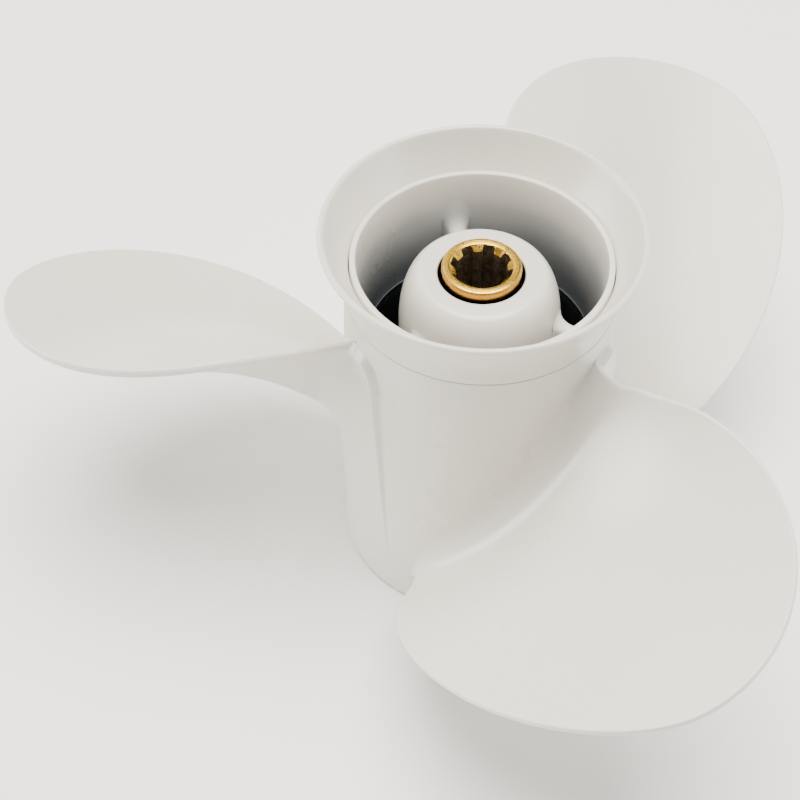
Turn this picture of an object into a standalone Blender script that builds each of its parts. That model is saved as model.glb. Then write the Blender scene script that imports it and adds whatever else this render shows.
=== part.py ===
"""Outboard boat propeller: three blades on a through-hub-exhaust barrel, with an elastic splined hub.

+Z points aft, along the shaft. The origin is on the shaft axis, in the plane of the barrel's fore face,
which the propeller also stands on. The painted casting is modelled as its barrel, inner hub, ribs and
blades. The diffuser ring, the rubber cushion and the splined brass sleeve are pieces of their own.
"""

import math

import bmesh
import bpy
import numpy as np

MM = 0.001

# Driving dimensions, in metres.
BLADES = 3
FIRST_BLADE_DEG = 60.0
GAP = 0.3 * MM

TIP_RADIUS = 117.5 * MM
LENGTH = 102.8 * MM
BARREL_FORE_RADIUS = 33.3 * MM
BARREL_AFT_RADIUS = 32.7 * MM
BARREL_FORE_BORE = 29.4 * MM
BARREL_WAIST_BORE = 27.6 * MM
BARREL_AFT_BORE = 29.7 * MM
WAIST_HEIGHT = 66.8 * MM
BARREL_LENGTH = 94.2 * MM

SEAM_HEIGHT = 85.7 * MM
SPIGOT_RADIUS = 31.2 * MM
FLARE_RADIUS = 38.7 * MM
LIP_RADIUS = 0.8 * MM
FLARE_START = 88.0 * MM

INNER_HUB_RADIUS = 19.5 * MM
INNER_HUB_FORE = 8.0 * MM
DOME_TOP = 89.5 * MM
DOME_HEIGHT = 14.0 * MM
DOME_FLAT_RADIUS = 12.5 * MM
DOME_BORE = 10.0 * MM
CAVITY_RADIUS = 16.0 * MM
CAVITY_TOP = 83.5 * MM

RUBBER_FORE = 12.0 * MM
RUBBER_CHAMFER = 1.2 * MM

SLEEVE_RADIUS = 9.6 * MM
SLEEVE_FORE = 5.0 * MM
SLEEVE_AFT = 91.8 * MM
SPLINES = 8
SPLINE_MAJOR = 7.4 * MM
SPLINE_MINOR = 6.2 * MM
SPLINE_LEAD_IN = 1.4 * MM
FIRST_GROOVE_DEG = 36.0
GROOVE_WIDTH = 2.8 * MM

RIB_OFFSET_DEG = 47.5
RIB_THICKNESS = 4.0 * MM
RIB_FORE = 10.0 * MM
RIB_AFT = 78.0 * MM

# The blade's face is z = height + pitch * angle + camber * angle^2 + rake * radius beyond REFERENCE_RADIUS,
# where the angle runs from the blade's reference line towards the trailing edge.
REFERENCE_RADIUS = 0.3 * TIP_RADIUS
REFERENCE_HEIGHT = 49.3 * MM
PITCH_RADIUS = 0.6 * TIP_RADIUS
PITCH_PER_RADIAN = 46.5 * MM
PITCH_FALL = 0.25
CAMBER = 14.6 * MM
RAKE = 0.25
ROOT_THICKNESS = 8.0 * MM
TIP_THICKNESS = 2.6 * MM
EDGE_THICKNESS = 2.0 * MM
ROOT_CLEARANCE = 0.4 * MM
ROOT_RADIUS = BARREL_FORE_RADIUS + ROOT_CLEARANCE

# Each edge is one cubic curve from root to tip, as (distance along the arc, radius) of its four points.
TIP_POINT = (-2.4 * MM, TIP_RADIUS)
LEADING_EDGE = ((-26.1 * MM, ROOT_RADIUS), (-73.0 * MM, 76.5 * MM), (-26.8 * MM, TIP_RADIUS), TIP_POINT)
TRAILING_EDGE = ((11.3 * MM, ROOT_RADIUS), (61.4 * MM, 89.7 * MM), (24.3 * MM, TIP_RADIUS), TIP_POINT)

TURN_STEPS = 60
BLADE_ROWS = 20
CHORD_STEPS = 14

PAINT = (0.86, 0.85, 0.81, 1.0)
BRASS = (0.78, 0.56, 0.25, 1.0)
RUBBER = (0.025, 0.025, 0.027, 1.0)


def clear_scene():
    for obj in list(bpy.data.objects):
        bpy.data.objects.remove(obj, do_unlink=True)


def new_collection(name):
    collection = bpy.data.collections.new(name)
    bpy.context.scene.collection.children.link(collection)
    return collection


def material(name, colour, roughness, metallic=0.0):
    made = bpy.data.materials.new(name)
    made.use_nodes = True
    shader = made.node_tree.nodes["Principled BSDF"]
    shader.inputs["Base Color"].default_value = colour
    shader.inputs["Roughness"].default_value = roughness
    shader.inputs["Metallic"].default_value = metallic
    made.diffuse_color = colour
    return made


def add_object(name, data, collection, finish=None):
    obj = bpy.data.objects.new(name, data)
    collection.objects.link(obj)
    if finish:
        data.materials.append(finish)
    return obj


def mesh_from(name, build):
    """A mesh filled by build(bm), with its faces turned outwards and smooth shading under 35 degrees."""
    mesh = bpy.data.meshes.new(name)
    bm = bmesh.new()
    build(bm)
    bmesh.ops.recalc_face_normals(bm, faces=bm.faces)
    bm.to_mesh(mesh)
    bm.free()
    mesh.shade_smooth()
    mesh.set_sharp_from_angle(angle=math.radians(35))
    return mesh


def turned(name, profile, collection, finish=None, steps=TURN_STEPS):
    """A ring whose closed (radius, height) profile runs down its outer side, turned once about Z."""
    mesh = bpy.data.meshes.new(name)
    bm = bmesh.new()
    corners = [bm.verts.new((radius, 0.0, height)) for radius, height in profile]
    for corner, following in zip(corners, corners[1:] + corners[:1]):
        bm.edges.new((corner, following))
    bm.to_mesh(mesh)
    bm.free()
    obj = add_object(name, mesh, collection, finish)
    screw = obj.modifiers.new("Turn", "SCREW")
    screw.axis = "Z"
    screw.steps = steps
    screw.render_steps = steps
    screw.use_merge_vertices = True
    screw.merge_threshold = 0.00001
    screw.use_smooth_shade = True
    return obj


def arc(centre, radii, start_deg, end_deg, count):
    """Points of an elliptical arc, as (radius, height) pairs."""
    points = []
    for step in range(count + 1):
        angle = math.radians(start_deg + (end_deg - start_deg) * step / count)
        points.append((centre[0] + radii[0] * math.cos(angle), centre[1] + radii[1] * math.sin(angle)))
    return points


def cubic(points, t):
    """The point at t of the cubic curve with these four control points."""
    weights = ((1 - t) ** 3, 3 * t * (1 - t) ** 2, 3 * t * t * (1 - t), t**3)
    return tuple(sum(w * p[axis] for w, p in zip(weights, points)) for axis in (0, 1))


def cubic_run(points, count):
    return [cubic(points, step / count) for step in range(count + 1)]


def barrel(collection, paint):
    """The outer tube, with a spigot at its aft end for the diffuser ring and its narrowest bore at the waist."""
    shoulder = SEAM_HEIGHT - GAP
    profile = [
        (SPIGOT_RADIUS - 0.5 * MM, BARREL_LENGTH),
        (SPIGOT_RADIUS, BARREL_LENGTH - 0.5 * MM),
        (SPIGOT_RADIUS, shoulder),
        (BARREL_AFT_RADIUS, shoulder),
        (BARREL_FORE_RADIUS, 1.0 * MM),
        (BARREL_FORE_RADIUS - 0.8 * MM, 0.0),
        (BARREL_FORE_BORE, 0.0),
        (BARREL_WAIST_BORE, WAIST_HEIGHT),
        (BARREL_AFT_BORE, BARREL_LENGTH),
    ]
    return turned("barrel", profile, collection, paint)


def diffuser_ring(collection, paint):
    """The flared ring pressed over the barrel's spigot."""
    lip_centre = (FLARE_RADIUS - LIP_RADIUS, LENGTH - LIP_RADIUS)
    bore = SPIGOT_RADIUS + GAP
    lip = arc(lip_centre, (LIP_RADIUS, LIP_RADIUS), 160.0, -20.0, 4)
    outside = cubic_run(
        (lip[-1], (FLARE_RADIUS - 3.0 * MM, LENGTH - 8.0 * MM), (BARREL_AFT_RADIUS, FLARE_START + 5.0 * MM),
         (BARREL_AFT_RADIUS, FLARE_START)),
        6,
    )
    inside = cubic_run(
        ((bore, BARREL_LENGTH - 1.0 * MM), (bore + 2.2 * MM, BARREL_LENGTH + 1.0 * MM),
         (FLARE_RADIUS - 3.0 * MM, LENGTH - 5.0 * MM), lip[0]),
        5,
    )
    profile = lip + outside[1:] + [(BARREL_AFT_RADIUS, SEAM_HEIGHT), (bore, SEAM_HEIGHT)] + inside[:-1]
    return turned("diffuser_ring", profile, collection, paint)


def inner_hub(collection, paint):
    """The domed housing of the rubber cushion, open at its fore end and with a bore for the sleeve aft."""
    dome = arc(
        (DOME_FLAT_RADIUS, DOME_TOP - DOME_HEIGHT), (INNER_HUB_RADIUS - DOME_FLAT_RADIUS, DOME_HEIGHT), 90.0, 0.0, 6
    )
    profile = [(DOME_BORE, DOME_TOP)] + dome + [
        (INNER_HUB_RADIUS, INNER_HUB_FORE),
        (CAVITY_RADIUS, INNER_HUB_FORE),
        (CAVITY_RADIUS, CAVITY_TOP),
        (DOME_BORE, CAVITY_TOP),
    ]
    return turned("inner_hub", profile, collection, paint)


def rubber_cushion(collection, rubber):
    """The torsion cushion between the inner hub and the sleeve."""
    inside = SLEEVE_RADIUS + GAP
    outside = CAVITY_RADIUS - GAP
    aft = CAVITY_TOP - GAP
    profile = [
        (outside - RUBBER_CHAMFER, aft),
        (outside, aft - RUBBER_CHAMFER),
        (outside, RUBBER_FORE + RUBBER_CHAMFER),
        (outside - RUBBER_CHAMFER, RUBBER_FORE),
        (inside, RUBBER_FORE),
        (inside, aft),
    ]
    return turned("rubber_cushion", profile, collection, rubber, steps=48)


def spline_outline():
    """One turn of the bore's outline: straight-sided grooves cut out to the major radius."""
    points = []
    reach = math.sqrt(SPLINE_MAJOR**2 - (GROOVE_WIDTH / 2) ** 2)
    mouth = math.sqrt(SPLINE_MINOR**2 - (GROOVE_WIDTH / 2) ** 2)
    for groove in range(SPLINES):
        azimuth = math.radians(FIRST_GROOVE_DEG) + groove * 2 * math.pi / SPLINES
        along = (math.cos(azimuth), math.sin(azimuth))
        across = (-along[1], along[0])
        corners = [(mouth, -1), (reach, -1), (SPLINE_MAJOR, 0), (reach, 1), (mouth, 1)]
        for distance, side in corners:
            shift = side * GROOVE_WIDTH / 2
            points.append(tuple(distance * a + shift * b for a, b in zip(along, across)))
        land = azimuth + math.pi / SPLINES
        points.append((SPLINE_MINOR * math.cos(land), SPLINE_MINOR * math.sin(land)))
    return points


def flat_outline(name, outlines, half_thickness, collection, finish=None):
    """A filled plate between z = -half_thickness and +half_thickness, made a mesh with welded caps."""
    curve = bpy.data.curves.new(name, "CURVE")
    curve.dimensions = "2D"
    curve.fill_mode = "BOTH"
    curve.extrude = half_thickness
    for outline in outlines:
        spline = curve.splines.new("POLY")
        spline.points.add(len(outline) - 1)
        for point, (x, y) in zip(spline.points, outline):
            point.co = (x, y, 0.0, 1.0)
        spline.use_cyclic_u = True
    guide = bpy.data.objects.new(name + "_outline", curve)
    collection.objects.link(guide)
    evaluated = guide.evaluated_get(bpy.context.evaluated_depsgraph_get())
    mesh = bpy.data.meshes.new_from_object(evaluated)
    mesh.name = name
    bpy.data.objects.remove(guide, do_unlink=True)
    bm = bmesh.new()
    bm.from_mesh(mesh)
    bmesh.ops.remove_doubles(bm, verts=bm.verts, dist=0.00001)
    bmesh.ops.recalc_face_normals(bm, faces=bm.faces)
    bm.to_mesh(mesh)
    bm.free()
    mesh.materials.clear()
    return add_object(name, mesh, collection, finish)


def splined_sleeve(collection, cutters, brass):
    """The brass sleeve that the shaft drives, with a lead-in chamfer on its splines at both ends."""
    rim = [
        (SLEEVE_RADIUS * math.cos(angle), SLEEVE_RADIUS * math.sin(angle))
        for angle in np.linspace(0.0, 2 * math.pi, 48, endpoint=False)
    ]
    half = (SLEEVE_AFT - SLEEVE_FORE) / 2
    sleeve = flat_outline("splined_sleeve", [rim, spline_outline()], half, collection, brass)
    sleeve.location.z = SLEEVE_FORE + half
    mouth = SPLINE_MINOR + SPLINE_LEAD_IN
    over = 1.0 * MM
    for end, height, way in (("aft", SLEEVE_AFT, 1), ("fore", SLEEVE_FORE, -1)):
        cone = bpy.data.meshes.new("lead_in_" + end)
        bm = bmesh.new()
        bmesh.ops.create_cone(
            bm, cap_ends=True, segments=32, radius1=SPLINE_MINOR - over, radius2=mouth + over,
            depth=SPLINE_LEAD_IN + 2 * over,
        )
        bm.to_mesh(cone)
        bm.free()
        cutter = add_object("lead_in_" + end, cone, cutters)
        cutter.location.z = height - way * SPLINE_LEAD_IN / 2
        cutter.rotation_euler.x = 0.0 if way > 0 else math.pi
        cutter.hide_render = True
        cutter.display_type = "WIRE"
        cut = sleeve.modifiers.new("Lead-in " + end, "BOOLEAN")
        cut.operation = "DIFFERENCE"
        cut.solver = "EXACT"
        cut.object = cutter
    return sleeve


def barrel_bore(height):
    """The barrel's inner radius at this height."""
    if height < WAIST_HEIGHT:
        share = height / WAIST_HEIGHT
        return BARREL_FORE_BORE + share * (BARREL_WAIST_BORE - BARREL_FORE_BORE)
    share = (height - WAIST_HEIGHT) / (BARREL_LENGTH - WAIST_HEIGHT)
    return BARREL_WAIST_BORE + share * (BARREL_AFT_BORE - BARREL_WAIST_BORE)


def ribs(collection, paint):
    """Three radial webs that carry the inner hub in the barrel. Their aft edges dip towards the middle."""
    inner = INNER_HUB_RADIUS + GAP + 0.1 * MM
    sag = 2.5 * MM

    def outer(height):
        return barrel_bore(height) - GAP - 0.2 * MM

    crest = [(inner, RIB_AFT)]
    for share in (0.25, 0.5, 0.75):
        radius = inner + share * (outer(RIB_AFT) - inner)
        crest.append((radius, RIB_AFT - sag * math.sin(math.pi * share)))
    outline = [(inner, RIB_FORE), (outer(RIB_FORE), RIB_FORE), (outer(WAIST_HEIGHT), WAIST_HEIGHT)]
    outline += [(outer(RIB_AFT), RIB_AFT)] + crest[::-1]
    for number in range(BLADES):
        rib = flat_outline(f"rib_{number + 1}", [outline], RIB_THICKNESS / 2, collection, paint)
        azimuth = FIRST_BLADE_DEG + RIB_OFFSET_DEG + number * 360.0 / BLADES
        rib.rotation_euler = (math.pi / 2, 0.0, math.radians(azimuth))


def edge_arc(edge, radius):
    """How far along the arc from the reference line this edge lies at this radius."""
    low, high = 0.0, 1.0
    for _ in range(40):
        middle = (low + high) / 2
        if cubic(edge, middle)[1] < radius:
            low = middle
        else:
            high = middle
    return cubic(edge, (low + high) / 2)[0]


def blade_point(radius, along, depth):
    """A point of a blade at this radius and arc distance, this deep below its pressure face."""
    angle = along / radius
    pitch = PITCH_PER_RADIAN - PITCH_FALL * (radius - PITCH_RADIUS)
    height = REFERENCE_HEIGHT + pitch * angle + CAMBER * angle**2 + RAKE * (radius - REFERENCE_RADIUS)
    slope = math.atan2(pitch + 2 * CAMBER * angle, radius)
    azimuth = angle + depth * math.sin(slope) / radius
    return (radius * math.cos(azimuth), radius * math.sin(azimuth), height - depth * math.cos(slope))


def root_point(along, depth):
    """A point of the root section, which stands clear of the barrel's tapered outside."""
    radius = ROOT_RADIUS
    for _ in range(3):
        aft_share = blade_point(radius, along, depth)[2] / SEAM_HEIGHT
        outside = BARREL_FORE_RADIUS + aft_share * (BARREL_AFT_RADIUS - BARREL_FORE_RADIUS)
        radius = outside + ROOT_CLEARANCE
    return blade_point(radius, along, depth)


def blade_section(radius):
    """The closed section on the cylinder of this radius: pressure face, then suction face."""
    leading = edge_arc(LEADING_EDGE, radius)
    trailing = edge_arc(TRAILING_EDGE, radius)
    outwards = (radius - ROOT_RADIUS) / (TIP_RADIUS - ROOT_RADIUS)
    thickest = TIP_THICKNESS + (ROOT_THICKNESS - TIP_THICKNESS) * (1 - outwards) ** 1.5
    pressure, suction = [], []
    for step in range(CHORD_STEPS + 1):
        chordwise = -math.cos(math.pi * step / CHORD_STEPS)
        along = (leading + trailing) / 2 + chordwise * (trailing - leading) / 2
        depth = EDGE_THICKNESS + (thickest - EDGE_THICKNESS) * (1 - chordwise**2)
        if radius > ROOT_RADIUS:
            pressure.append(blade_point(radius, along, 0.0))
            suction.append(blade_point(radius, along, depth))
        else:
            pressure.append(root_point(along, 0.0))
            suction.append(root_point(along, depth))
    return pressure + suction[::-1]


def build_blade(bm):
    """Sections lofted from the root to the tip, closed by a strip of faces at each end."""
    rows = []
    for row in range(BLADE_ROWS + 1):
        share = math.sin(0.5 * math.pi * row / BLADE_ROWS) * 0.9995
        section = blade_section(ROOT_RADIUS + share * (TIP_RADIUS - ROOT_RADIUS))
        rows.append([bm.verts.new(point) for point in section])
    count = len(rows[0])
    for row, above in zip(rows, rows[1:]):
        for side in range(count):
            following = (side + 1) % count
            bm.faces.new((row[side], row[following], above[following], above[side]))
    for end in (rows[0], rows[-1]):
        for step in range(CHORD_STEPS):
            bm.faces.new((end[step], end[step + 1], end[count - 2 - step], end[count - 1 - step]))


def blades(collection, paint):
    mesh = mesh_from("blade", build_blade)
    mesh.materials.append(paint)
    for number in range(BLADES):
        blade = add_object(f"blade_{number + 1}", mesh, collection)
        blade.rotation_euler.z = math.radians(FIRST_BLADE_DEG + number * 360.0 / BLADES)


def main():
    clear_scene()
    parts = new_collection("boat_propeller")
    cutters = new_collection("cutters")
    paint = material("painted_aluminium", PAINT, 0.3)
    brass = material("brass", BRASS, 0.3, 1.0)
    rubber = material("rubber", RUBBER, 0.8)
    barrel(parts, paint)
    diffuser_ring(parts, paint)
    inner_hub(parts, paint)
    ribs(parts, paint)
    blades(parts, paint)
    rubber_cushion(parts, rubber)
    splined_sleeve(parts, cutters, brass)


main()
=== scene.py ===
"""Looks of the outboard boat propeller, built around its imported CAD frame.

Lengths are in millimetres until a mesh is made. A blade's own azimuth is 0 on its reference line and
grows towards its trailing edge. The casting's skin is two structured grids for each third of a turn:
the aft grid (pressure face and the barrel above it) and the fore grid (suction face and the barrel below
it). They meet along the ribbon, which is six points wide: it follows the rim of the blade, bends onto the
barrel at the trailing edge's root, and runs down the barrel as a low step.
"""

import math

import bmesh
import bpy
import numpy as np
from mathutils import Matrix, Vector


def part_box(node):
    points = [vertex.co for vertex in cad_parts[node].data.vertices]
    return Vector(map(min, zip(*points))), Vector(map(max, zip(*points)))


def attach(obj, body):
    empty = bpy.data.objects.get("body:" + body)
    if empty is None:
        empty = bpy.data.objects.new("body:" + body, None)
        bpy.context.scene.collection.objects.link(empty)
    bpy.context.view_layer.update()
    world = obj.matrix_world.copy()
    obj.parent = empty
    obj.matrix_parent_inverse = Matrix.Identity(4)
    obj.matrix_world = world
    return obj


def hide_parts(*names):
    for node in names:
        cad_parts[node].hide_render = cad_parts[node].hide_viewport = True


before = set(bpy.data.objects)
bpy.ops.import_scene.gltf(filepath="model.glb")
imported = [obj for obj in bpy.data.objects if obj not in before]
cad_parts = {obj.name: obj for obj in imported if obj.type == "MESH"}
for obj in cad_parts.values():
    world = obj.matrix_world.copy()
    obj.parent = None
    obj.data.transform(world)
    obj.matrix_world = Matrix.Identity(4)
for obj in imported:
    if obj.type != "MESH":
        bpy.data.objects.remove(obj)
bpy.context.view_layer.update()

MM = 0.001


def top_of(node):
    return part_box(node)[1].z / MM


def radius_of(node):
    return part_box(node)[1].x / MM


# Sizes from the frame.
LENGTH = top_of("diffuser_ring")
FLARE_RADIUS = radius_of("diffuser_ring")
BARREL_TOP = top_of("barrel")
BARREL_RADIUS = radius_of("barrel")
DOME_TOP = top_of("inner_hub")
HUB_RADIUS = radius_of("inner_hub")
SLEEVE_TOP = top_of("splined_sleeve")
SLEEVE_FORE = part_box("splined_sleeve")[0].z / MM
SLEEVE_RADIUS = radius_of("splined_sleeve")
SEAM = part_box("diffuser_ring")[0].z / MM
RUBBER_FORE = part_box("rubber_cushion")[0].z / MM
RUBBER_TOP = top_of("rubber_cushion")
RUBBER_RADIUS = radius_of("rubber_cushion")
RIB_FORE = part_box("rib_1")[0].z / MM
RIB_TOP = top_of("rib_1")

# The passage's wall and the inner hub, as in the CAD model.
SPIGOT_RADIUS = 31.2
BORE_AFT = 29.75
BORE_WAIST = 27.6
BORE_FORE = 29.4
WAIST = 66.8
DOME_FLAT = 14.2
DOME_HEIGHT = 14.6
DOME_BORE = 10.25
CAVITY_RADIUS = 16.0
CAVITY_TOP = 83.5
INNER_HUB_FORE = 8.0

BLADES = 3
SECTOR = 2 * math.pi / BLADES
FIRST_BLADE = math.radians(60.0)
FIRST_RIB = math.radians(107.5)

# The blade, as in the CAD model.
TIP_RADIUS = 117.5
ROOT_RADIUS = 33.7
REFERENCE_RADIUS = 0.3 * TIP_RADIUS
REFERENCE_HEIGHT = 49.3
PITCH_RADIUS = 0.6 * TIP_RADIUS
PITCH_PER_RADIAN = 46.5
PITCH_FALL = 0.25
CAMBER = 14.6
RAKE = 0.25
ROOT_THICKNESS = 8.0
TIP_THICKNESS = 2.6
EDGE_THICKNESS = 2.0
EDGE_ROUND = 0.45
TIP_POINT = (-2.4, TIP_RADIUS)
LEADING_EDGE = np.array(((-26.1, ROOT_RADIUS), (-73.0, 76.5), (-26.8, TIP_RADIUS), TIP_POINT))
TRAILING_EDGE = np.array(((11.3, ROOT_RADIUS), (61.4, 89.7), (24.3, TIP_RADIUS), TIP_POINT))

# The barrel's outside. The part of it that the fore die made stands proud of the rest by the step.
STEP_FOOT = 10.8
STEP_RISE = 0.0275
BARREL_TAPER = 0.0094
STEP_WIDTH = 1.15
STEP_AZIMUTH = 48.3
STEP_AZIMUTH_HEIGHT = 66.0
STEP_LEAN = 0.135
BEND_WIDTH = 1.9
FLASH_WIDTH = 0.5
FLASH_HEIGHT = 0.06
FLASH_START = (math.radians(-52.6), 8.8)
FLASH_DIRECTION = (1.0, -0.2)
OUTER_FORE = 1.3
OUTER_AFT = SEAM - 0.6

# The blade's root: its fillet ends this far out, and the trailing edge flares on its way to it.
FILLET_END = ROOT_RADIUS + 7.4
ROOT_FLARE = 1.6
ROOT_FLARE_RADIUS = 53.0
ROOT_FLARE_LENGTH = 13.0

# Counts of the skin's rows and columns.
BLADE_ROWS = 56
FILLET_ROWS = 12
BARREL_ROWS = 14
STEP_COLUMNS = 40
SIDE_COLUMNS = 6
RIM_COLUMNS = 40
COLUMNS = STEP_COLUMNS + 2 * SIDE_COLUMNS + RIM_COLUMNS

# The ribbon's outer columns, where the aft grid and the fore grid join it.
AFT_SIDE, FORE_SIDE = 0, 5
# How many columns a ribbon pulls along with it, in the fillet and on the barrel's two sides of the step.
FILLET_PULL = 26
AFT_PULL, FORE_PULL = 12, 6
# The fore grid's clearance from the step, in radians: on its last row, and what its first row has besides.
STEP_CLEARANCE = 0.016
STEP_CLEARANCE_GROWTH = 0.06
# The aft grid's clearance from the seam on its first row, and how far its corner leads the step, in radians.
SEAM_CLEARANCE = 1.2
AFT_CORNER_LEAD = 0.05
EVENING_PASSES = 6


def smooth(share):
    share = np.clip(share, 0.0, 1.0)
    return share * share * (3 - 2 * share)


# ---------------------------------------------------------------- the casting's skin


def bezier(points, t):
    t = np.asarray(t, float)[..., None]
    near, far = (1 - t) ** 3 * points[0] + 3 * t * (1 - t) ** 2 * points[1], 3 * t * t * (1 - t) * points[2]
    return near + far + t**3 * points[3]


def bezier_slope(points, t):
    t = np.asarray(t, float)[..., None]
    legs = np.diff(points, axis=0)
    return 3 * ((1 - t) ** 2 * legs[0] + 2 * t * (1 - t) * legs[1] + t * t * legs[2])


def edge_parameter(edge, radius):
    """Where on its curve this edge has this radius."""
    t = np.linspace(0.0, 1.0, 2001)
    return float(np.interp(radius, bezier(edge, t)[:, 1], t))


def blade_surface(along, radius, depth):
    """Cylindrical points (azimuth, radius, height) this deep under the pressure face."""
    angle = along / radius
    pitch = PITCH_PER_RADIAN - PITCH_FALL * (radius - PITCH_RADIUS)
    height = REFERENCE_HEIGHT + pitch * angle + CAMBER * angle**2 + RAKE * (radius - REFERENCE_RADIUS)
    slope = np.arctan2(pitch + 2 * CAMBER * angle, radius)
    return np.stack(
        [angle + depth * np.sin(slope) / radius, radius + 0 * angle, height - depth * np.cos(slope)], axis=-1
    )


def thickest(radius):
    outwards = np.clip((radius - ROOT_RADIUS) / (TIP_RADIUS - ROOT_RADIUS), 0, 1)
    return TIP_THICKNESS + (ROOT_THICKNESS - TIP_THICKNESS) * (1 - outwards) ** 1.5


def barrel_radius(height, fore):
    """The barrel's outside at this height, on the fore die's side of the step or on the aft die's."""
    risen = np.maximum(height - STEP_FOOT, 0.0)
    return BARREL_RADIUS - BARREL_TAPER * risen + (STEP_RISE * risen if fore else 0.0)


def outline(edge, way, t):
    """Points of a blade's outline and its outward normals, both as (along, radius).

    way is -1 on the leading edge and 1 on the trailing edge.
    """
    tangent = bezier_slope(edge, t)
    tangent /= np.linalg.norm(tangent, axis=-1, keepdims=True)
    normal = way * np.stack([tangent[..., 1], -tangent[..., 0]], axis=-1)
    at = bezier(edge, t)
    if way > 0:
        at[..., 0] += ROOT_FLARE * smooth((ROOT_FLARE_RADIUS - at[..., 1]) / ROOT_FLARE_LENGTH)
    return at, normal


def rim_profile():
    """Across the blade's rim, from pressure face to suction face: (inset from the outline, depth)."""
    q = EDGE_ROUND
    corner = q * (1 - math.sqrt(0.5))
    full = EDGE_THICKNESS
    return ((q, 0), (corner, corner), (0, q), (0, full - q), (corner, full - corner), (q, full))


# Across the step on the barrel, from its foot to its crest: (distance from the crest, height), as shares.
STEP_PROFILE = ((1.4, 0.0), (1.08, 0.05), (0.88, 0.2), (0.12, 0.93), (0.0, 1.0), (-0.25, 1.0))
# Across the flash line near the fore end, where the step has died out.
FLASH_PROFILE = ((1.2, 0.0), (0.9, 0.35), (0.65, 1.0), (0.35, 1.0), (0.1, 0.35), (-0.2, 0.0))


def rim_points(edge, way, t):
    """The ribbon along a blade's edge: one row of six points at each t."""
    at, normal = outline(edge, way, t)
    columns = []
    for inset, depth in rim_profile():
        point = at - inset * normal
        columns.append(blade_surface(point[..., 0], point[..., 1], depth))
    return np.stack(columns, axis=-2)


def tip_dip(share):
    """How far a row sags from the straight line between its ends, as a share of its half width."""
    return share**4


def face_rows(shares, first_leading, first_trailing, suction):
    """The blade's face between its rims.

    Rows are straight near the root and close round the tip like arches.
    """
    lead_t = first_leading + (1 - first_leading) * shares
    trail_t = first_trailing + (1 - first_trailing) * shares
    lead, lead_normal = outline(LEADING_EDGE, -1, lead_t)
    trail, trail_normal = outline(TRAILING_EDGE, 1, trail_t)
    lead = lead - EDGE_ROUND * lead_normal
    trail = trail - EDGE_ROUND * trail_normal
    sweep = np.linspace(-math.pi / 2, math.pi / 2, COLUMNS + 1)
    middle, half = (lead + trail) / 2, (trail - lead) / 2
    across = np.sin(sweep)
    flat = middle[:, None, :] + across[None, :, None] * half[:, None, :]
    width = np.linalg.norm(half, axis=-1)
    flat[..., 1] -= (tip_dip(shares) * width)[:, None] * np.cos(sweep)[None, :]
    if suction:
        swell = (thickest(flat[..., 1]) - EDGE_THICKNESS) * (1 - shares[:, None] ** 6)
        depth = EDGE_THICKNESS + swell * np.cos(sweep)[None, :] ** 2
    else:
        depth = 0.0
    return blade_surface(flat[..., 0], flat[..., 1], depth)


def section_ends(radius):
    """Arc distances of both inset edges at this radius, carried on in a straight line under the root."""
    ends = []
    for edge, way in ((LEADING_EDGE, -1), (TRAILING_EDGE, 1)):
        t = edge_parameter(edge, max(radius, ROOT_RADIUS))
        at, normal = outline(edge, way, t)
        slope = bezier_slope(edge, t)
        ends.append(at[0] + slope[0] / slope[1] * (radius - at[1]) - way * EDGE_ROUND)
    return ends


def fillet_point(column_share, turn, fore):
    """A point of the fillet between a face and the barrel. turn is 0 on the blade and 1 on the barrel."""
    angle = turn * math.pi / 2
    height = REFERENCE_HEIGHT
    for _ in range(4):
        foot = barrel_radius(height, fore)
        radius = foot + (FILLET_END - foot) * (1 - math.sin(angle))
        lead, trail = section_ends(radius)
        along = lead + (trail - lead) * (1 + column_share) / 2
        swell = (thickest(radius) - EDGE_THICKNESS) * (1 - column_share**2)
        depth = EDGE_THICKNESS + swell if fore else 0.0
        azimuth, _, base = blade_surface(np.float64(along), np.float64(radius), depth)
        pitch = PITCH_PER_RADIAN - PITCH_FALL * (radius - PITCH_RADIUS)
        slope = math.atan2(pitch + 2 * CAMBER * along / radius, radius)
        reach = (FILLET_END - foot) * (1 - math.cos(angle)) * (1 if fore else -1)
        height = base - reach * math.cos(slope)
    return np.array([azimuth + reach * math.sin(slope) / radius, radius, height])


def step_azimuth(height):
    """The crest of the step, which leans as it comes down the barrel."""
    return np.radians(STEP_AZIMUTH + STEP_LEAN * (STEP_AZIMUTH_HEIGHT - height))


BEND_START = np.array([math.radians(33.0) * ROOT_RADIUS, 77.6])
BEND_END = np.array([step_azimuth(66.5) * ROOT_RADIUS, 66.5])


def bend_path(count):
    """The crest's way over the barrel from the trailing edge's root into the step, as (arc, height)."""
    control = np.array([BEND_START, BEND_START + (5.5, 1.6), BEND_END + (0.3, 12.0), BEND_END])
    t = np.linspace(0.0, 1.0, count + 1)
    return bezier(control, t), bezier_slope(control, t)


def ribbon_on_barrel(path, travel, width, profile, rise):
    """Six points across the ribbon at each point of its path on the barrel. rise is the step's height."""
    travel = travel / np.linalg.norm(travel, axis=-1, keepdims=True)
    across = np.stack([-travel[:, 1], travel[:, 0]], axis=-1)
    columns = []
    for distance, lift in profile:
        point = path + across * (distance * width)[:, None]
        radius = barrel_radius(point[:, 1], False) + lift * rise
        columns.append(np.stack([point[:, 0] / ROOT_RADIUS, radius, point[:, 1]], axis=-1))
    return np.stack(columns, axis=-2)


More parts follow.
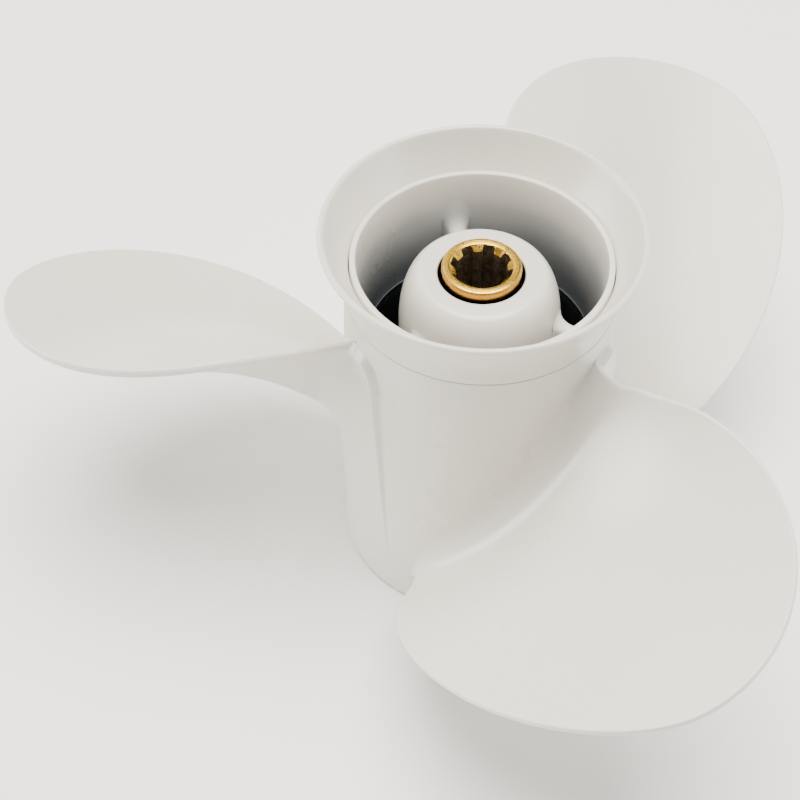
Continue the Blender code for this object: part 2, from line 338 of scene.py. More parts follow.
def step_rows():
    """The step from the bend down to the fore end, ending as the flash line."""
    share = np.linspace(0.0, 1.0, STEP_COLUMNS + 1)
    height = BEND_END[1] + (STEP_FOOT - BEND_END[1]) * share
    path = np.stack([[step_azimuth(z) * ROOT_RADIUS for z in height], height], axis=-1)
    travel = np.gradient(path, axis=0)
    travel[-1] = (0.6, -0.6)
    rise = STEP_RISE * (height - STEP_FOOT)
    width = FLASH_WIDTH + (STEP_WIDTH - FLASH_WIDTH) * (1 - share)
    step = ribbon_on_barrel(path, travel, width, STEP_PROFILE, rise)
    flash = ribbon_on_barrel(path, travel, width, FLASH_PROFILE, np.full_like(rise, FLASH_HEIGHT))
    fade = smooth((share - 0.86) / 0.14)[:, None, None]
    return step * (1 - fade) + flash * fade


def arc_rows(start, end, count):
    """Rows from start, which leaves radially, to end, which arrives along the barrel."""
    rows = []
    for step in range(count + 1):
        angle = step / count * math.pi / 2
        row = start + (end - start) * (1 - math.cos(angle))
        row[:, 1] = start[:, 1] + (end[:, 1] - start[:, 1]) * math.sin(angle)
        rows.append(row)
    return np.array(rows)


def trailing_ribbon(first_t):
    """From the tip down the trailing edge, over the fillet and the bend, to the top of the step."""
    shares = row_shares()
    blade = rim_points(TRAILING_EDGE, 1, first_t + (1 - first_t) * shares)[::-1]
    path, travel = bend_path(BARREL_ROWS)
    rise = STEP_RISE * (path[:, 1] - STEP_FOOT)
    width = BEND_WIDTH + (STEP_WIDTH - BEND_WIDTH) * smooth(np.linspace(0.0, 1.0, len(path)))
    bend = ribbon_on_barrel(path, travel, width, STEP_PROFILE, rise)
    return np.concatenate([blade, arc_rows(blade[-1], bend[0], FILLET_ROWS)[1:], bend[1:]])


def leading_ribbon(first_t, end_row):
    """From the tip down the leading edge and its fillet, then along the flash line to the step's foot."""
    shares = row_shares()
    blade = rim_points(LEADING_EDGE, -1, first_t + (1 - first_t) * shares)[::-1]
    root = np.array([[FLASH_START[0] * ROOT_RADIUS, FLASH_START[1]]])
    travel, width, height = np.array([FLASH_DIRECTION]), np.array([FLASH_WIDTH]), np.array([FLASH_HEIGHT])
    start = ribbon_on_barrel(root, travel, width, FLASH_PROFILE, height)[0]
    share = np.linspace(0.0, 1.0, BARREL_ROWS + 1)[:, None, None]
    line = start + (end_row - start) * share
    return np.concatenate([blade, arc_rows(blade[-1], start, FILLET_ROWS)[1:], line[1:]])


def row_shares():
    """Where the blade's rows lie between its root and its tip, closer together towards the tip."""
    return np.sin(np.linspace(0.0, math.pi / 2, BLADE_ROWS + 1)) ** 1.15


def straight(start, end, count):
    share = np.linspace(0.0, 1.0, count + 1)[:, None]
    return np.array(start) + share * (np.array(end) - np.array(start))


def barrel_border(fore, step):
    """The last row of a grid: (azimuth, height) along the step, up or down to the rim, and along the rim."""
    back = np.array([SECTOR, 0.0])
    if fore:
        foot = step[-1, FORE_SIDE, [0, 2]]
        corner = np.array([foot[0], OUTER_FORE])
        crest = step[::-1, FORE_SIDE][:, [0, 2]]
        runs = [
            straight(foot - back, corner - back, SIDE_COLUMNS),
            straight(corner - back, corner, RIM_COLUMNS),
            straight(corner, foot, SIDE_COLUMNS),
            crest,
        ]
    else:
        top = step[0, AFT_SIDE, [0, 2]]
        corner = np.array([top[0] + AFT_CORNER_LEAD, OUTER_AFT])
        runs = [
            step[::-1, AFT_SIDE][:, [0, 2]] - back,
            straight(top - back, corner - back, SIDE_COLUMNS),
            straight(corner - back, corner, RIM_COLUMNS),
            straight(corner, top, SIDE_COLUMNS),
        ]
    return np.concatenate([runs[0]] + [run[1:] for run in runs[1:]])


def side_pull(rows, leading, trailing, reach):
    """Moves the side columns onto the ribbons, and their neighbours by less, over this many columns."""
    column = np.arange(rows.shape[1])
    for target, distance in ((leading, column), (trailing, column[::-1])):
        pull = (1 - smooth(distance / reach))[None, :, None]
        side = rows[:, 0] if target is leading else rows[:, -1]
        rows = rows + pull * (target - side)[:, None, :]
    return rows


def skin_grid(fore, first_leading, first_trailing, leading, trailing, step):
    """One grid, as rows of cylindrical points from the tip to the barrel's rim."""
    shares = row_shares()
    blade = face_rows(shares, first_leading, first_trailing, fore)[::-1]
    column = FORE_SIDE if fore else AFT_SIDE
    sweep = np.sin(np.linspace(-math.pi / 2, math.pi / 2, COLUMNS + 1))
    turns = np.linspace(0.0, 1.0, FILLET_ROWS + 1)
    fillet = np.array([[fillet_point(c, turn, fore) for c in sweep] for turn in turns])
    start, end = len(blade) - 1, len(blade) - 1 + FILLET_ROWS
    fillet = side_pull(fillet, leading[start:end + 1, column], trailing[start:end + 1, column], FILLET_PULL)
    # On the barrel the grid is laid out flat, as (azimuth, height), and kept inside its border.
    border = barrel_border(fore, step)
    share = np.linspace(0.0, 1.0, BARREL_ROWS + 1)[:, None, None]
    foot = fillet[-1][:, [0, 2]]
    flat = foot + share * (border - foot)
    first_side, last_side = leading[end:, column][:, [0, 2]], trailing[end:, column][:, [0, 2]]
    flat = side_pull(flat, first_side, last_side, FORE_PULL if fore else AFT_PULL)
    left = 1 - share[..., 0]
    if fore:
        step_above = step_azimuth(np.minimum(flat[..., 1], BEND_END[1]))
        limit = step_above - STEP_CLEARANCE - STEP_CLEARANCE_GROWTH * left
        flat[..., 0] = np.minimum(flat[..., 0], limit)
    else:
        flat[..., 1] = np.minimum(flat[..., 1], OUTER_AFT - SEAM_CLEARANCE * left)
    flat[:, 0], flat[:, -1] = first_side, last_side
    flat[-1] = border
    # Each inner point moves to the middle of its four neighbours, which takes most folds out.
    for _ in range(EVENING_PASSES):
        flat[1:-1, 1:-1] = (flat[:-2, 1:-1] + flat[2:, 1:-1] + flat[1:-1, :-2] + flat[1:-1, 2:]) / 4
    barrel = np.stack([flat[..., 0], barrel_radius(flat[..., 1], fore), flat[..., 1]], axis=-1)
    for side, ribbon in ((0, leading), (-1, trailing)):
        barrel[:, side] = ribbon[end:, column]
    if fore:
        barrel[-1, -STEP_COLUMNS - 1:] = step[::-1, FORE_SIDE]
    else:
        barrel[-1, :STEP_COLUMNS + 1] = step[::-1, AFT_SIDE] - np.array([SECTOR, 0.0, 0.0])
    return np.concatenate([blade, fillet[1:], barrel[1:]])


def to_metres(points, turn=0.0):
    """Cartesian points in metres from (azimuth, radius, height), turned about the axis by this angle."""
    points = np.asarray(points, float)
    azimuth, radius, height = points[..., 0] + turn, points[..., 1], points[..., 2]
    return np.stack([radius * np.cos(azimuth), radius * np.sin(azimuth), height], axis=-1) * MM


def level_ring(azimuth, radius, height):
    """Points (azimuth, radius, height) at one height. radius is one number, or one for each azimuth."""
    return np.stack([azimuth, np.full_like(azimuth, radius), np.full_like(azimuth, height)], -1)


def add_grid(bm, rows, closed=False):
    """Quads between neighbouring rows of points, in metres."""
    verts = [[bm.verts.new(point) for point in row] for row in rows]
    count = len(verts[0])
    for row, following in zip(verts, verts[1:]):
        for side in range(count if closed else count - 1):
            beside = (side + 1) % count
            bm.faces.new((row[side], row[beside], following[beside], following[side]))
    return verts


def finish_mesh(bm, name, weld=1e-6):
    """A smooth-shaded object in the scene, with the points that meet within weld metres joined."""
    bmesh.ops.remove_doubles(bm, verts=bm.verts, dist=weld)
    bmesh.ops.dissolve_degenerate(bm, edges=bm.edges, dist=1e-7)
    bmesh.ops.recalc_face_normals(bm, faces=bm.faces)
    mesh = bpy.data.meshes.new(name)
    bm.to_mesh(mesh)
    bm.free()
    mesh.shade_smooth()
    obj = bpy.data.objects.new(name, mesh)
    bpy.context.scene.collection.objects.link(obj)
    return obj


def barrel_profile():
    """From the outside's aft row over the spigot, down the bore and round the fore rim: (radius, height)."""
    shoulder = SEAM - 0.06
    side = float(barrel_radius(shoulder, False))
    spigot, bore = SPIGOT_RADIUS, BORE_AFT
    # The shoulder under the seam, the spigot that the diffuser ring sits on, and the aft rim.
    points = [(side, shoulder - 0.14), (side - 0.05, shoulder - 0.04), (side - 0.2, shoulder)]
    points += [(spigot + 0.1, shoulder), (spigot, shoulder + 0.1), (spigot, shoulder + 4.0)]
    points += [(spigot, BARREL_TOP - 0.5), (spigot - 0.12, BARREL_TOP - 0.15), (spigot - 0.45, BARREL_TOP)]
    points += [(bore + 0.35, BARREL_TOP), (bore + 0.1, BARREL_TOP - 0.12), (bore, BARREL_TOP - 0.45)]
    # Down the passage's wall to its waist, where the two halves of the core left a low ridge.
    for share in np.linspace(0.1, 0.97, 10):
        points.append((bore + share * (BORE_WAIST - bore), BARREL_TOP + share * (WAIST - BARREL_TOP)))
    points += [(BORE_WAIST - 0.22, WAIST + 0.3), (BORE_WAIST - 0.24, WAIST - 0.1)]
    points += [(BORE_WAIST + 0.1, WAIST - 0.6)]
    # On down to the fore rim.
    for share in np.linspace(0.04, 0.97, 22):
        points.append((BORE_WAIST + 0.1 + share * (BORE_FORE - BORE_WAIST - 0.1), WAIST * (1 - share)))
    outside = float(barrel_radius(0.0, True))
    points += [(BORE_FORE + 0.1, 0.5), (BORE_FORE + 0.4, 0.0)]
    points += [(outside - 1.2, 0.0), (outside - 0.7, 0.1), (outside - 0.2, 0.55)]
    return points


def casting():
    """The barrel and its three blades, as one closed skin.

    Each third is two grids and their ribbons. The passage's wall joins their aft and fore rim rows.
    """
    first_leading = edge_parameter(LEADING_EDGE, FILLET_END)
    first_trailing = edge_parameter(TRAILING_EDGE, FILLET_END)
    step = step_rows()
    trailing = trailing_ribbon(first_trailing)
    step[0] = trailing[-1]
    end_row = step[-1] - np.array([SECTOR, 0.0, 0.0])
    leading = leading_ribbon(first_leading, end_row)
    grids = {}
    for fore in (False, True):
        grids[fore] = skin_grid(fore, first_leading, first_trailing, leading, trailing, step)
    turns = [FIRST_BLADE + number * SECTOR for number in range(BLADES)]
    bm = bmesh.new()
    for turn in turns:
        for piece in (grids[False], grids[True], leading, trailing, step):
            add_grid(bm, to_metres(piece, turn))
    first = STEP_COLUMNS + SIDE_COLUMNS
    top = grids[False][-1, first:first + RIM_COLUMNS]
    bottom = grids[True][-1, SIDE_COLUMNS:SIDE_COLUMNS + RIM_COLUMNS]
    upper = np.concatenate([top + (turn, 0, 0) for turn in turns])
    lower = np.concatenate([bottom + (turn, 0, 0) for turn in turns])
    profile = barrel_profile()
    rings = [upper]
    for place, (radius, height) in enumerate(profile):
        share = smooth(place / (len(profile) - 1))
        azimuth = upper[:, 0] + share * (lower[:, 0] - upper[:, 0])
        rings.append(level_ring(azimuth, radius, height))
    rings.append(lower)
    add_grid(bm, [to_metres(ring) for ring in rings], closed=True)
    return finish_mesh(bm, "casting", weld=2e-6)


# ---------------------------------------------------------------- turned pieces


def arc(centre, radii, start_deg, end_deg, count):
    """Points (radius, height) on part of an ellipse."""
    angles = np.radians(np.linspace(start_deg, end_deg, count + 1))
    return [(centre[0] + radii[0] * math.cos(a), centre[1] + radii[1] * math.sin(a)) for a in angles]


def cubic_run(points, count):
    """Points (radius, height) on one Bezier curve."""
    return [tuple(point) for point in bezier(np.array(points, float), np.linspace(0, 1, count + 1))]


def turned(name, profile, steps):
    """A closed (radius, height) profile turned once about Z."""
    azimuth = np.linspace(0.0, 2 * math.pi, steps, endpoint=False)
    rows = [to_metres(level_ring(azimuth, radius, height)) for radius, height in profile + profile[:1]]
    bm = bmesh.new()
    add_grid(bm, rows, closed=True)
    return finish_mesh(bm, name)


def diffuser_ring():
    """The flared ring: a rounded lip, a smooth trumpet outside and a cone inside."""
    side = float(barrel_radius(SEAM, False))
    bore = 31.5
    lip = 0.85
    centre = (FLARE_RADIUS - lip, LENGTH - lip)
    top = arc(centre, (lip, lip), 150.0, -40.0, 10)
    outside = cubic_run(
        (top[-1], (FLARE_RADIUS - 3.6, LENGTH - 6.5), (side + 0.3, SEAM + 8.0), (side, SEAM + 2.0)), 18
    )
    foot = [(side, SEAM + 0.3), (side - 0.05, SEAM + 0.1), (side - 0.2, SEAM)]
    foot += [(bore + 0.15, SEAM), (bore, SEAM + 0.15), (bore, BARREL_TOP - 4.0)]
    cone = ((bore, BARREL_TOP - 1.2), (bore + 1.2, BARREL_TOP + 0.6), (FLARE_RADIUS - 3.9, LENGTH - 5.2))
    inside = cubic_run(cone + (top[0],), 18)
    return turned("diffuser_ring_painted", top + outside[1:] + foot + inside[:-1], 180)


def inner_hub():
    """The domed housing, open at its fore end."""
    bore, cavity, fore = DOME_BORE, CAVITY_RADIUS, INNER_HUB_FORE
    shoulder = DOME_TOP - DOME_HEIGHT
    dome = arc((DOME_FLAT, shoulder), (HUB_RADIUS - DOME_FLAT, DOME_HEIGHT), 90.0, 0.0, 22)
    profile = [(bore, DOME_TOP - 0.6), (bore + 0.1, DOME_TOP - 0.25), (bore + 0.35, DOME_TOP - 0.04)]
    profile += [(bore + 0.8, DOME_TOP)] + dome
    for share in np.linspace(0.15, 0.95, 6):
        profile.append((HUB_RADIUS, shoulder + share * (fore - shoulder)))
    profile += [(HUB_RADIUS, fore + 1.0), (HUB_RADIUS - 0.3, fore + 0.3), (HUB_RADIUS - 0.9, fore)]
    profile += [(cavity + 0.5, fore), (cavity + 0.1, fore + 0.2), (cavity, fore + 0.8)]
    profile += [(cavity, 30.0), (cavity, 60.0), (cavity, CAVITY_TOP - 0.6)]
    profile += [(cavity - 0.4, CAVITY_TOP - 0.1), (cavity - 1.0, CAVITY_TOP)]
    profile += [(bore + 0.4, CAVITY_TOP), (bore, CAVITY_TOP + 0.4)]
    return turned("inner_hub_painted", profile, 120)


def rubber_cushion():
    """The bonded cushion: its fore end sags between the hub and the sleeve."""
    inside, outside = SLEEVE_RADIUS + 0.3, RUBBER_RADIUS
    middle = (inside + outside) / 2
    half = (outside - inside) / 2
    profile = [(outside - 0.6, RUBBER_TOP), (outside - 0.15, RUBBER_TOP - 0.2), (outside, RUBBER_TOP - 0.7)]
    profile += [(outside, z) for z in np.linspace(RUBBER_TOP - 8, RUBBER_FORE + 6, 5)]
    profile += [(outside, RUBBER_FORE + 0.6), (outside - 0.12, RUBBER_FORE + 0.2)]
    sag = 1.6
    profile += [(middle + half * 0.9 * c, RUBBER_FORE + sag * (1 - c * c)) for c in np.linspace(1, -1, 11)]
    profile += [(inside, RUBBER_FORE + 0.4)]
    profile += [(inside, z) for z in np.linspace(RUBBER_FORE + 6, RUBBER_TOP - 8, 4)]
    profile += [(inside, RUBBER_TOP - 0.3), (inside + 0.3, RUBBER_TOP)]
    return turned("rubber_cushion_moulded", profile, 96)


# ---------------------------------------------------------------- ribs

RIB_HALF = 1.9
RIB_STATIONS = 40
RIB_SUNK = 0.02
RIB_CREST = RIB_TOP + 0.6
RIB_FOOT = RIB_FORE + 1.5
# Each fillet as (how far it spreads from its wall, how high it climbs the wall).
HUB_WIDENING, WALL_WIDENING = (3.2, 1.5), (3.6, 3.1)
HUB_LIFT, WALL_LIFT = (4.6, 3.2), (4.4, 9.0)
WALL_ROUNDING = (3.6, 3.4)


def fillet_reach(distance, across, climb):
    """How high an elliptical fillet stands, this far from the wall that it runs up."""
    share = 1 - min(max(distance / across, 0.0), 1.0)
    return climb * (1 - math.sqrt(1 - share * share))


def bore_radius(height):
    return float(np.interp(height, [0.0, WAIST, BARREL_TOP], [BORE_FORE, BORE_WAIST, BORE_AFT]))


def dome_radius(height):
    share = min(max((height - DOME_TOP + DOME_HEIGHT) / DOME_HEIGHT, 0.0), 1.0)
    return DOME_FLAT + (HUB_RADIUS - DOME_FLAT) * math.sqrt(1 - share * share)


def rib(number):
    """A web between the inner hub and the barrel.

    Its aft edge sags, and sweeps up both walls as it widens. It runs into both walls by RIB_SUNK.
    """
    width = bore_radius(RIB_TOP) - HUB_RADIUS
    loops = []
    for share in 0.5 - 0.5 * np.cos(np.linspace(0.0, math.pi, RIB_STATIONS + 1)):
        from_hub, from_wall = share * width, (1 - share) * width
        thick = RIB_HALF + fillet_reach(from_hub, *HUB_WIDENING) + fillet_reach(from_wall, *WALL_WIDENING)
        lift = fillet_reach(from_hub, *HUB_LIFT) + fillet_reach(from_wall, *WALL_LIFT)
        cap = RIB_HALF * 0.9 + fillet_reach(from_wall, *WALL_ROUNDING)
        ring = []
        for edge, side in ((RIB_CREST + lift, 1), (RIB_FOOT - 0.3 * lift, -1)):
            for angle in np.linspace(0, math.pi, 11):
                height = edge - side * cap * (1 - math.sin(angle))
                start, end = dome_radius(height) - RIB_SUNK, bore_radius(height) + RIB_SUNK
                ring.append((start + (end - start) * share, side * thick * math.cos(angle), height))
        loops.append(ring)
    turn = Matrix.Rotation(FIRST_RIB + number * SECTOR, 3, "Z")
    rows = [[turn @ Vector(point) * MM for point in ring] for ring in loops]
    bm = bmesh.new()
    verts = add_grid(bm, rows, closed=True)
    bm.faces.new(verts[0])
    bm.faces.new(verts[-1])
    obj = finish_mesh(bm, f"rib_{number + 1}_painted")
    obj.data.set_sharp_from_angle(angle=math.radians(60))
    return obj


# ---------------------------------------------------------------- sleeve

SPLINES = 8
SPLINE_MAJOR = 7.4
SPLINE_MINOR = 6.2
FIRST_GROOVE = math.radians(36.0)
GROOVE_WIDTH = 2.8
LEAD_IN = 1.4
MOUTH = SPLINE_MINOR + LEAD_IN


def spline_outline():
    """One turn of the bore, with small rounds at the corners of its straight-sided grooves."""
    points = []
    tooth = 2 * math.pi / SPLINES
    half = GROOVE_WIDTH / 2
    reach, mouth = math.sqrt(SPLINE_MAJOR**2 - half**2), math.sqrt(SPLINE_MINOR**2 - half**2)
    start = math.atan2(half + 0.25, mouth)
    groove = [(mouth - 0.02, -half - 0.25), (mouth + 0.05, -half - 0.07), (mouth + 0.25, -half)]
    groove += [(reach - 0.3, -half), (reach - 0.06, -half + 0.07), (reach + 0.04, -half + 0.3)]
    groove += [(math.sqrt(SPLINE_MAJOR**2 - (half * share) ** 2), half * share) for share in (-0.4, 0.0)]
    groove += [(x, -y) for x, y in groove[-2::-1]]
    for number in range(SPLINES):
        azimuth = FIRST_GROOVE + number * tooth
        cos, sin = math.cos(azimuth), math.sin(azimuth)
        points += [(x * cos - y * sin, x * sin + y * cos) for x, y in groove]
        for share in (0.25, 0.5, 0.75):
            land = azimuth + start + share * (tooth - 2 * start)
            points.append((SPLINE_MINOR * math.cos(land), SPLINE_MINOR * math.sin(land)))
    return np.array(points)


def splined_sleeve():
    """The turned brass sleeve, with rounded shoulders and a lead-in on its splines."""
    bore = spline_outline()
    azimuth = np.arctan2(bore[:, 1], bore[:, 0])
    radius = np.hypot(bore[:, 0], bore[:, 1])
    outside = SLEEVE_RADIUS - 0.05
    # The shoulder and the face as (inset from the outside, depth), then the cone's and the bore's depths.
    shoulder = ((0.0, 9.0), (0.0, 0.62), (0.07, 0.32), (0.2, 0.12), (0.42, 0.0), (0.9, 0.0), (1.3, 0.0))
    lead_in = (0.06, 0.2, 0.45, 0.8, 1.1, LEAD_IN, LEAD_IN + 0.25, 8.0)
    rings = []
    for face, way in ((SLEEVE_TOP, -1), (SLEEVE_FORE, 1)):
        end = [(outside - inset, face + way * depth) for inset, depth in shoulder]
        end.append((MOUTH + 0.12, face))
        end += [(np.maximum(radius, MOUTH - depth), face + way * depth) for depth in lead_in]
        rings += end if way < 0 else end[::-1]
    rings.append(rings[0])
    bm = bmesh.new()
    add_grid(bm, [to_metres(level_ring(azimuth, across, z)) for across, z in rings], closed=True)
    obj = finish_mesh(bm, "splined_sleeve_machined")
    obj.data.set_sharp_from_angle(angle=math.radians(38))
    return obj


# ---------------------------------------------------------------- materials


class Nodes:
    """A small helper that adds nodes to one material and links them."""

    def __init__(self, name):
        self.material = bpy.data.materials.new(name)
        self.material.use_nodes = True
        self.tree = self.material.node_tree
        self.shader = self.tree.nodes["Principled BSDF"]

    def add(self, kind, inputs=None, **settings):
        node = self.tree.nodes.new(kind)
        for key, value in settings.items():
            setattr(node, key, value)
        for key, value in (inputs or {}).items():
            if isinstance(value, bpy.types.NodeSocket):
                self.tree.links.new(value, node.inputs[key])
            else:
                node.inputs[key].default_value = value
        return node

    def place(self):
        return self.add("ShaderNodeTexCoord").outputs["Object"]

    def radius_and_height(self, place):
        """The distance from the propeller's axis and the height, in metres."""
        x, y, z = self.add("ShaderNodeSeparateXYZ", {"Vector": place}).outputs
        squares = self.maths("ADD", self.maths("MULTIPLY", x, x), self.maths("MULTIPLY", y, y))
        return self.maths("SQRT", squares), z

    def noise(self, place, scale, detail, roughness=0.5):
        inputs = {"Vector": place, "Scale": scale, "Detail": detail, "Roughness": roughness}
        return self.add("ShaderNodeTexNoise", inputs).outputs["Fac"]

    def ramp(self, value, stops):
        node = self.add("ShaderNodeValToRGB", {"Fac": value})
        elements = node.color_ramp.elements
        for index, (position, colour) in enumerate(stops):
            element = elements[index] if index < 2 else elements.new(position)
            element.position = position
            element.color = colour
        return node.outputs["Color"]

    def spread(self, value, low, high, to_low, to_high):
        """to_low below low, to_high above high, and a straight run between them."""
        inputs = {"Value": value, "From Min": low, "From Max": high, "To Min": to_low, "To Max": to_high}
        return self.add("ShaderNodeMapRange", inputs).outputs["Result"]

    def mix(self, share, first, second):
        """Of two colours, the first where share is 0 and the second where it is 1."""
        node = self.add("ShaderNodeMix", data_type="RGBA")
        for socket, value in ((node.inputs[0], share), (node.inputs[6], first), (node.inputs[7], second)):
            if isinstance(value, bpy.types.NodeSocket):
                self.tree.links.new(value, socket)
            else:
                socket.default_value = value
        return node.outputs[2]

    def maths(self, operation, first, second=0.0):
        node = self.add("ShaderNodeMath", operation=operation)
        for socket, value in zip(node.inputs, (first, second)):
            if isinstance(value, bpy.types.NodeSocket):
                self.tree.links.new(value, socket)
            else:
                socket.default_value = value
        return node.outputs[0]

    def bump(self, height, distance, strength, under=None):
        inputs = {"Height": height, "Distance": distance, "Strength": strength}
        if under:
            inputs["Normal"] = under
        return self.add("ShaderNodeBump", inputs).outputs["Normal"]

    def out(self, socket, value):
        if isinstance(value, bpy.types.NodeSocket):
            self.tree.links.new(value, self.shader.inputs[socket])
        else:
            self.shader.inputs[socket].default_value = value


def grey(value):
    return (value, value, value, 1.0)


def paint():
    """Sprayed warm white enamel over a casting: waviness, fine orange peel, dust specks and drifts of tone.

    Shade is painted in: the colour goes dark down the exhaust passages and in the gap round the sleeve, and
    a painted highlight runs along the ridge at the passage's waist.
    """
    n = Nodes("white_enamel")
    place = n.place()
    radius, height = n.radius_and_height(place)
    drift = n.noise(place, 14.0, 2.0)
    warm = n.mix(n.spread(drift, 0.35, 0.65, 0.0, 1.0), (0.770, 0.738, 0.655, 1), (0.755, 0.732, 0.675, 1))
    speck = n.ramp(n.noise(place, 1300.0, 1.0), ((0.0, grey(0.0)), (0.77, grey(0.0)), (0.81, grey(1.0))))
    dusty = n.mix(n.maths("MULTIPLY", speck, 0.4), warm, (0.40, 0.36, 0.30, 1))
    # Painted shade: the wall of the passage darkens from just below its rim, and the hub from below its
    # dome.
    cloud = n.spread(n.noise(place, 70.0, 1.0), 0.0, 1.0, -2.0 * MM, 2.0 * MM)
    off_wall = n.spread(radius, 25.4 * MM, 28.3 * MM, 14.0 * MM, 0.0)
    level = n.maths("ADD", n.maths("ADD", height, cloud), off_wall)
    painted_depth_shade = n.ramp(
        n.spread(level, 62.0 * MM, 93.0 * MM, 0.0, 1.0),
        (
            (0.08, (0.012, 0.014, 0.016, 1)),
            (0.30, (0.060, 0.068, 0.078, 1)),
            (0.62, (0.36, 0.37, 0.37, 1)),
            (1.00, (0.74, 0.718, 0.655, 1)),
        ),
    )
    inside = n.spread(radius, 30.6 * MM, 31.0 * MM, 1.0, 0.0)
    depth_shade_share = n.maths("MULTIPLY", inside, n.spread(level, 84.0 * MM, 93.0 * MM, 1.0, 0.0))
    with_depth_shade = n.mix(depth_shade_share, dusty, painted_depth_shade)
    # A painted highlight runs along the ridge at the wall's waist.
    ridge = n.maths(
        "MULTIPLY",
        n.spread(height, (WAIST - 0.35) * MM, (WAIST - 0.15) * MM, 0.0, 0.5),
        n.spread(height, (WAIST + 0.2) * MM, (WAIST + 0.4) * MM, 1.0, 0.0),
    )
    on_wall = n.spread(radius, 26.6 * MM, 27.0 * MM, 0.0, 1.0)
    painted_ridge_highlight = n.maths("MULTIPLY", n.maths("MULTIPLY", ridge, on_wall), inside)
    # Painted shade on the dome's bore lip, in the gap round the sleeve.
    sleeve_gap_shade = n.spread(radius, 10.35 * MM, 10.75 * MM, 1.0, 0.0)
    shaded = n.mix(sleeve_gap_shade, n.mix(painted_ridge_highlight, with_depth_shade, (0.80, 0.79, 0.76, 1)), (0.012, 0.010, 0.008, 1))
    n.out("Base Color", shaded)
    n.out("Roughness", n.spread(n.noise(place, 60.0, 3.0), 0.3, 0.7, 0.26, 0.36))
    n.out("Coat Weight", 0.35)
    n.out("Coat Roughness", 0.2)
    wave = n.bump(n.noise(place, 60.0, 1.0), 0.0004, 0.045)
    n.out("Normal", n.bump(n.noise(place, 900.0, 2.0), 0.00008, 0.10, wave))
    return n.material


def brass():
    """Turned brass: rings from the tool, tarnish in patches, and dark brown painted shade down the splined
    bore.
    """
    n = Nodes("turned_brass")
    place = n.place()
    radius, height = n.radius_and_height(place)
    rings = n.maths("SINE", n.maths("MULTIPLY", radius, 52000.0))
    tarnish = n.noise(place, 420.0, 4.0, 0.6)
    brown, yellow, bright = (0.60, 0.32, 0.035, 1), (0.82, 0.50, 0.06, 1), (0.92, 0.62, 0.11, 1)
    colour = n.ramp(tarnish, ((0.30, brown), (0.50, yellow), (0.72, bright)))
    # The face and the lead-in cone are bare, and the splines below them get dark brown painted shade.
    above = n.maths("SUBTRACT", height, radius)
    cone = SLEEVE_TOP - MOUTH
    on_cone = n.spread(above, (cone - 0.10) * MM, (cone - 0.04) * MM, 0.0, 1.0)
    on_face = n.spread(radius, (MOUTH - 0.06) * MM, (MOUTH - 0.02) * MM, 0.0, 1.0)
    bare = n.maths("MAXIMUM", on_cone, on_face)
    bore_shade_mottle = n.spread(n.noise(place, 900.0, 3.0), 0.35, 0.7, 0.0, 1.0)
    bore_painted_shade = n.mix(bore_shade_mottle, (0.050, 0.034, 0.022, 1), (0.130, 0.090, 0.055, 1))
    # The side is browner than the face, and painted shade darkens it where it goes down into the hub.
    on_side = n.spread(radius, (SLEEVE_RADIUS - 0.38) * MM, (SLEEVE_RADIUS - 0.16) * MM, 0.0, 1.0)
    above_gap = n.spread(height, (DOME_TOP - 0.9) * MM, (DOME_TOP + 1.0) * MM, 0.0, 1.0)
    browned = n.mix(tarnish, (0.42, 0.19, 0.025, 1), (0.66, 0.34, 0.06, 1))
    side = n.mix(above_gap, (0.030, 0.020, 0.012, 1), browned)
    n.out("Base Color", n.mix(bare, bore_painted_shade, n.mix(on_side, colour, side)))
    n.out("Metallic", bare)
    n.out("Roughness", n.spread(tarnish, 0.3, 0.7, 0.32, 0.20))
    n.out("Normal", n.bump(rings, 0.00002, 0.25))
    return n.material


def rubber():
    """Moulded black rubber with a dull bloom."""
    n = Nodes("moulded_rubber")
    place = n.place()
    bloom = n.noise(place, 240.0, 5.0, 0.65)
    dull = n.spread(bloom, 0.4, 0.75, 0.0, 1.0)
    n.out("Base Color", n.mix(dull, (0.012, 0.012, 0.013, 1), (0.05, 0.05, 0.048, 1)))
    n.out("Roughness", n.spread(bloom, 0.3, 0.7, 0.62, 0.82))
    n.out("Normal", n.bump(n.noise(place, 1800.0, 2.0), 0.00005, 0.4))
    return n.material


def floor_material():
    n = Nodes("pale_floor")
    tone = n.spread(n.noise(n.place(), 3.0, 2.0), 0.3, 0.7, 0.0, 1.0)
    n.out("Base Color", n.mix(tone, (0.965, 0.97, 0.975, 1), (0.98, 0.985, 0.99, 1)))
    n.out("Roughness", 0.9)
    return n.material


# ---------------------------------------------------------------- stage

FLOOR_GAP = 0.2
WORLD_STRENGTH = 0.06
LIGHT_TARGET = (0.0, 0.0, 0.05)
WARM_WHITE, COOL_WHITE = (1.0, 0.965, 0.90), (0.93, 0.97, 1.0)
# Soft round lamps: name, place and diameter in metres, watts, colour.
LIGHTS = (
    ("overhead", (0.0, 0.1, 2.05), 2.0, 126.0, WARM_WHITE),
    ("behind_left", (-0.9, 1.2, 1.3), 1.2, 10.0, WARM_WHITE),
    ("behind_right", (1.48, 1.12, 0.8), 1.2, 14.0, WARM_WHITE),
    ("left", (-1.93, -0.1, 0.5), 1.2, 44.0, WARM_WHITE),
    ("right", (1.93, -0.35, 0.5), 1.0, 13.0, COOL_WHITE),
)

CAMERA_PLACE = (19.404, -330.972, 409.997)
CAMERA_FORWARD = (-0.07759, 0.666746, -0.741236)
CAMERA_RIGHT = (0.992581, 0.121467, 0.00536)
CAMERA_LENS = 87.74


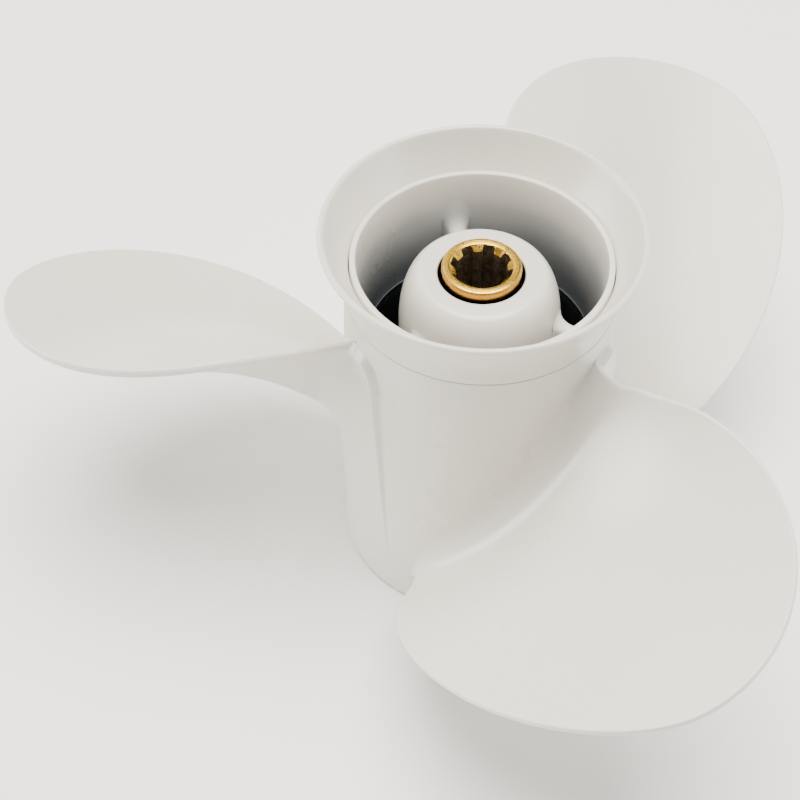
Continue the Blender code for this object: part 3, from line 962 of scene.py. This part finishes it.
def add_light(name, place, size, watts, colour):
    data = bpy.data.lights.new(name, "AREA")
    data.shape = "DISK"
    data.size = size
    data.energy = watts
    data.color = colour
    obj = bpy.data.objects.new(name, data)
    bpy.context.scene.collection.objects.link(obj)
    obj.location = place
    aim = Vector(LIGHT_TARGET) - Vector(place)
    obj.rotation_euler = aim.to_track_quat("-Z", "Y").to_euler()


def build_stage():
    mesh = bpy.data.meshes.new("floor")
    bm = bmesh.new()
    bmesh.ops.create_grid(bm, x_segments=1, y_segments=1, size=4.0)
    bm.to_mesh(mesh)
    bm.free()
    floor = bpy.data.objects.new("floor", mesh)
    floor.location.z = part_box("barrel")[0].z - FLOOR_GAP * MM
    bpy.context.scene.collection.objects.link(floor)
    mesh.materials.append(floor_material())
    world = bpy.data.worlds.new("studio")
    bpy.context.scene.world = world
    world.use_nodes = True
    background = world.node_tree.nodes["Background"]
    background.inputs["Color"].default_value = grey(1.0)
    background.inputs["Strength"].default_value = WORLD_STRENGTH
    for light in LIGHTS:
        add_light(*light)


def build_camera():
    """A long lens about half a metre away, looking down at the splined bore."""
    data = bpy.data.cameras.new("camera")
    data.sensor_width = 36.0
    data.lens = CAMERA_LENS
    data.clip_start = 0.01
    obj = bpy.data.objects.new("camera", data)
    bpy.context.scene.collection.objects.link(obj)
    forward, right = Vector(CAMERA_FORWARD), Vector(CAMERA_RIGHT)
    up = right.cross(forward)
    basis = Matrix((right, up, -forward)).transposed().to_4x4()
    obj.matrix_world = Matrix.Translation(Vector(CAMERA_PLACE) * MM) @ basis
    bpy.context.scene.camera = obj


def dress(obj, finish, body, nodes):
    """Gives a piece its material and its body, and hides the CAD nodes it stands for."""
    obj.data.materials.clear()
    obj.data.materials.append(finish)
    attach(obj, body)
    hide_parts(*nodes)


def main():
    enamel = paint()
    blades = [f"blade_{number + 1}" for number in range(BLADES)]
    dress(casting(), enamel, "hub", ["barrel"] + blades)
    dress(diffuser_ring(), enamel, "hub", ["diffuser_ring"])
    dress(inner_hub(), enamel, "hub", ["inner_hub"])
    for number in range(BLADES):
        dress(rib(number), enamel, "hub", [f"rib_{number + 1}"])
    dress(rubber_cushion(), rubber(), "hub", ["rubber_cushion"])
    dress(splined_sleeve(), brass(), "sleeve", ["splined_sleeve"])
    build_stage()
    build_camera()


main()
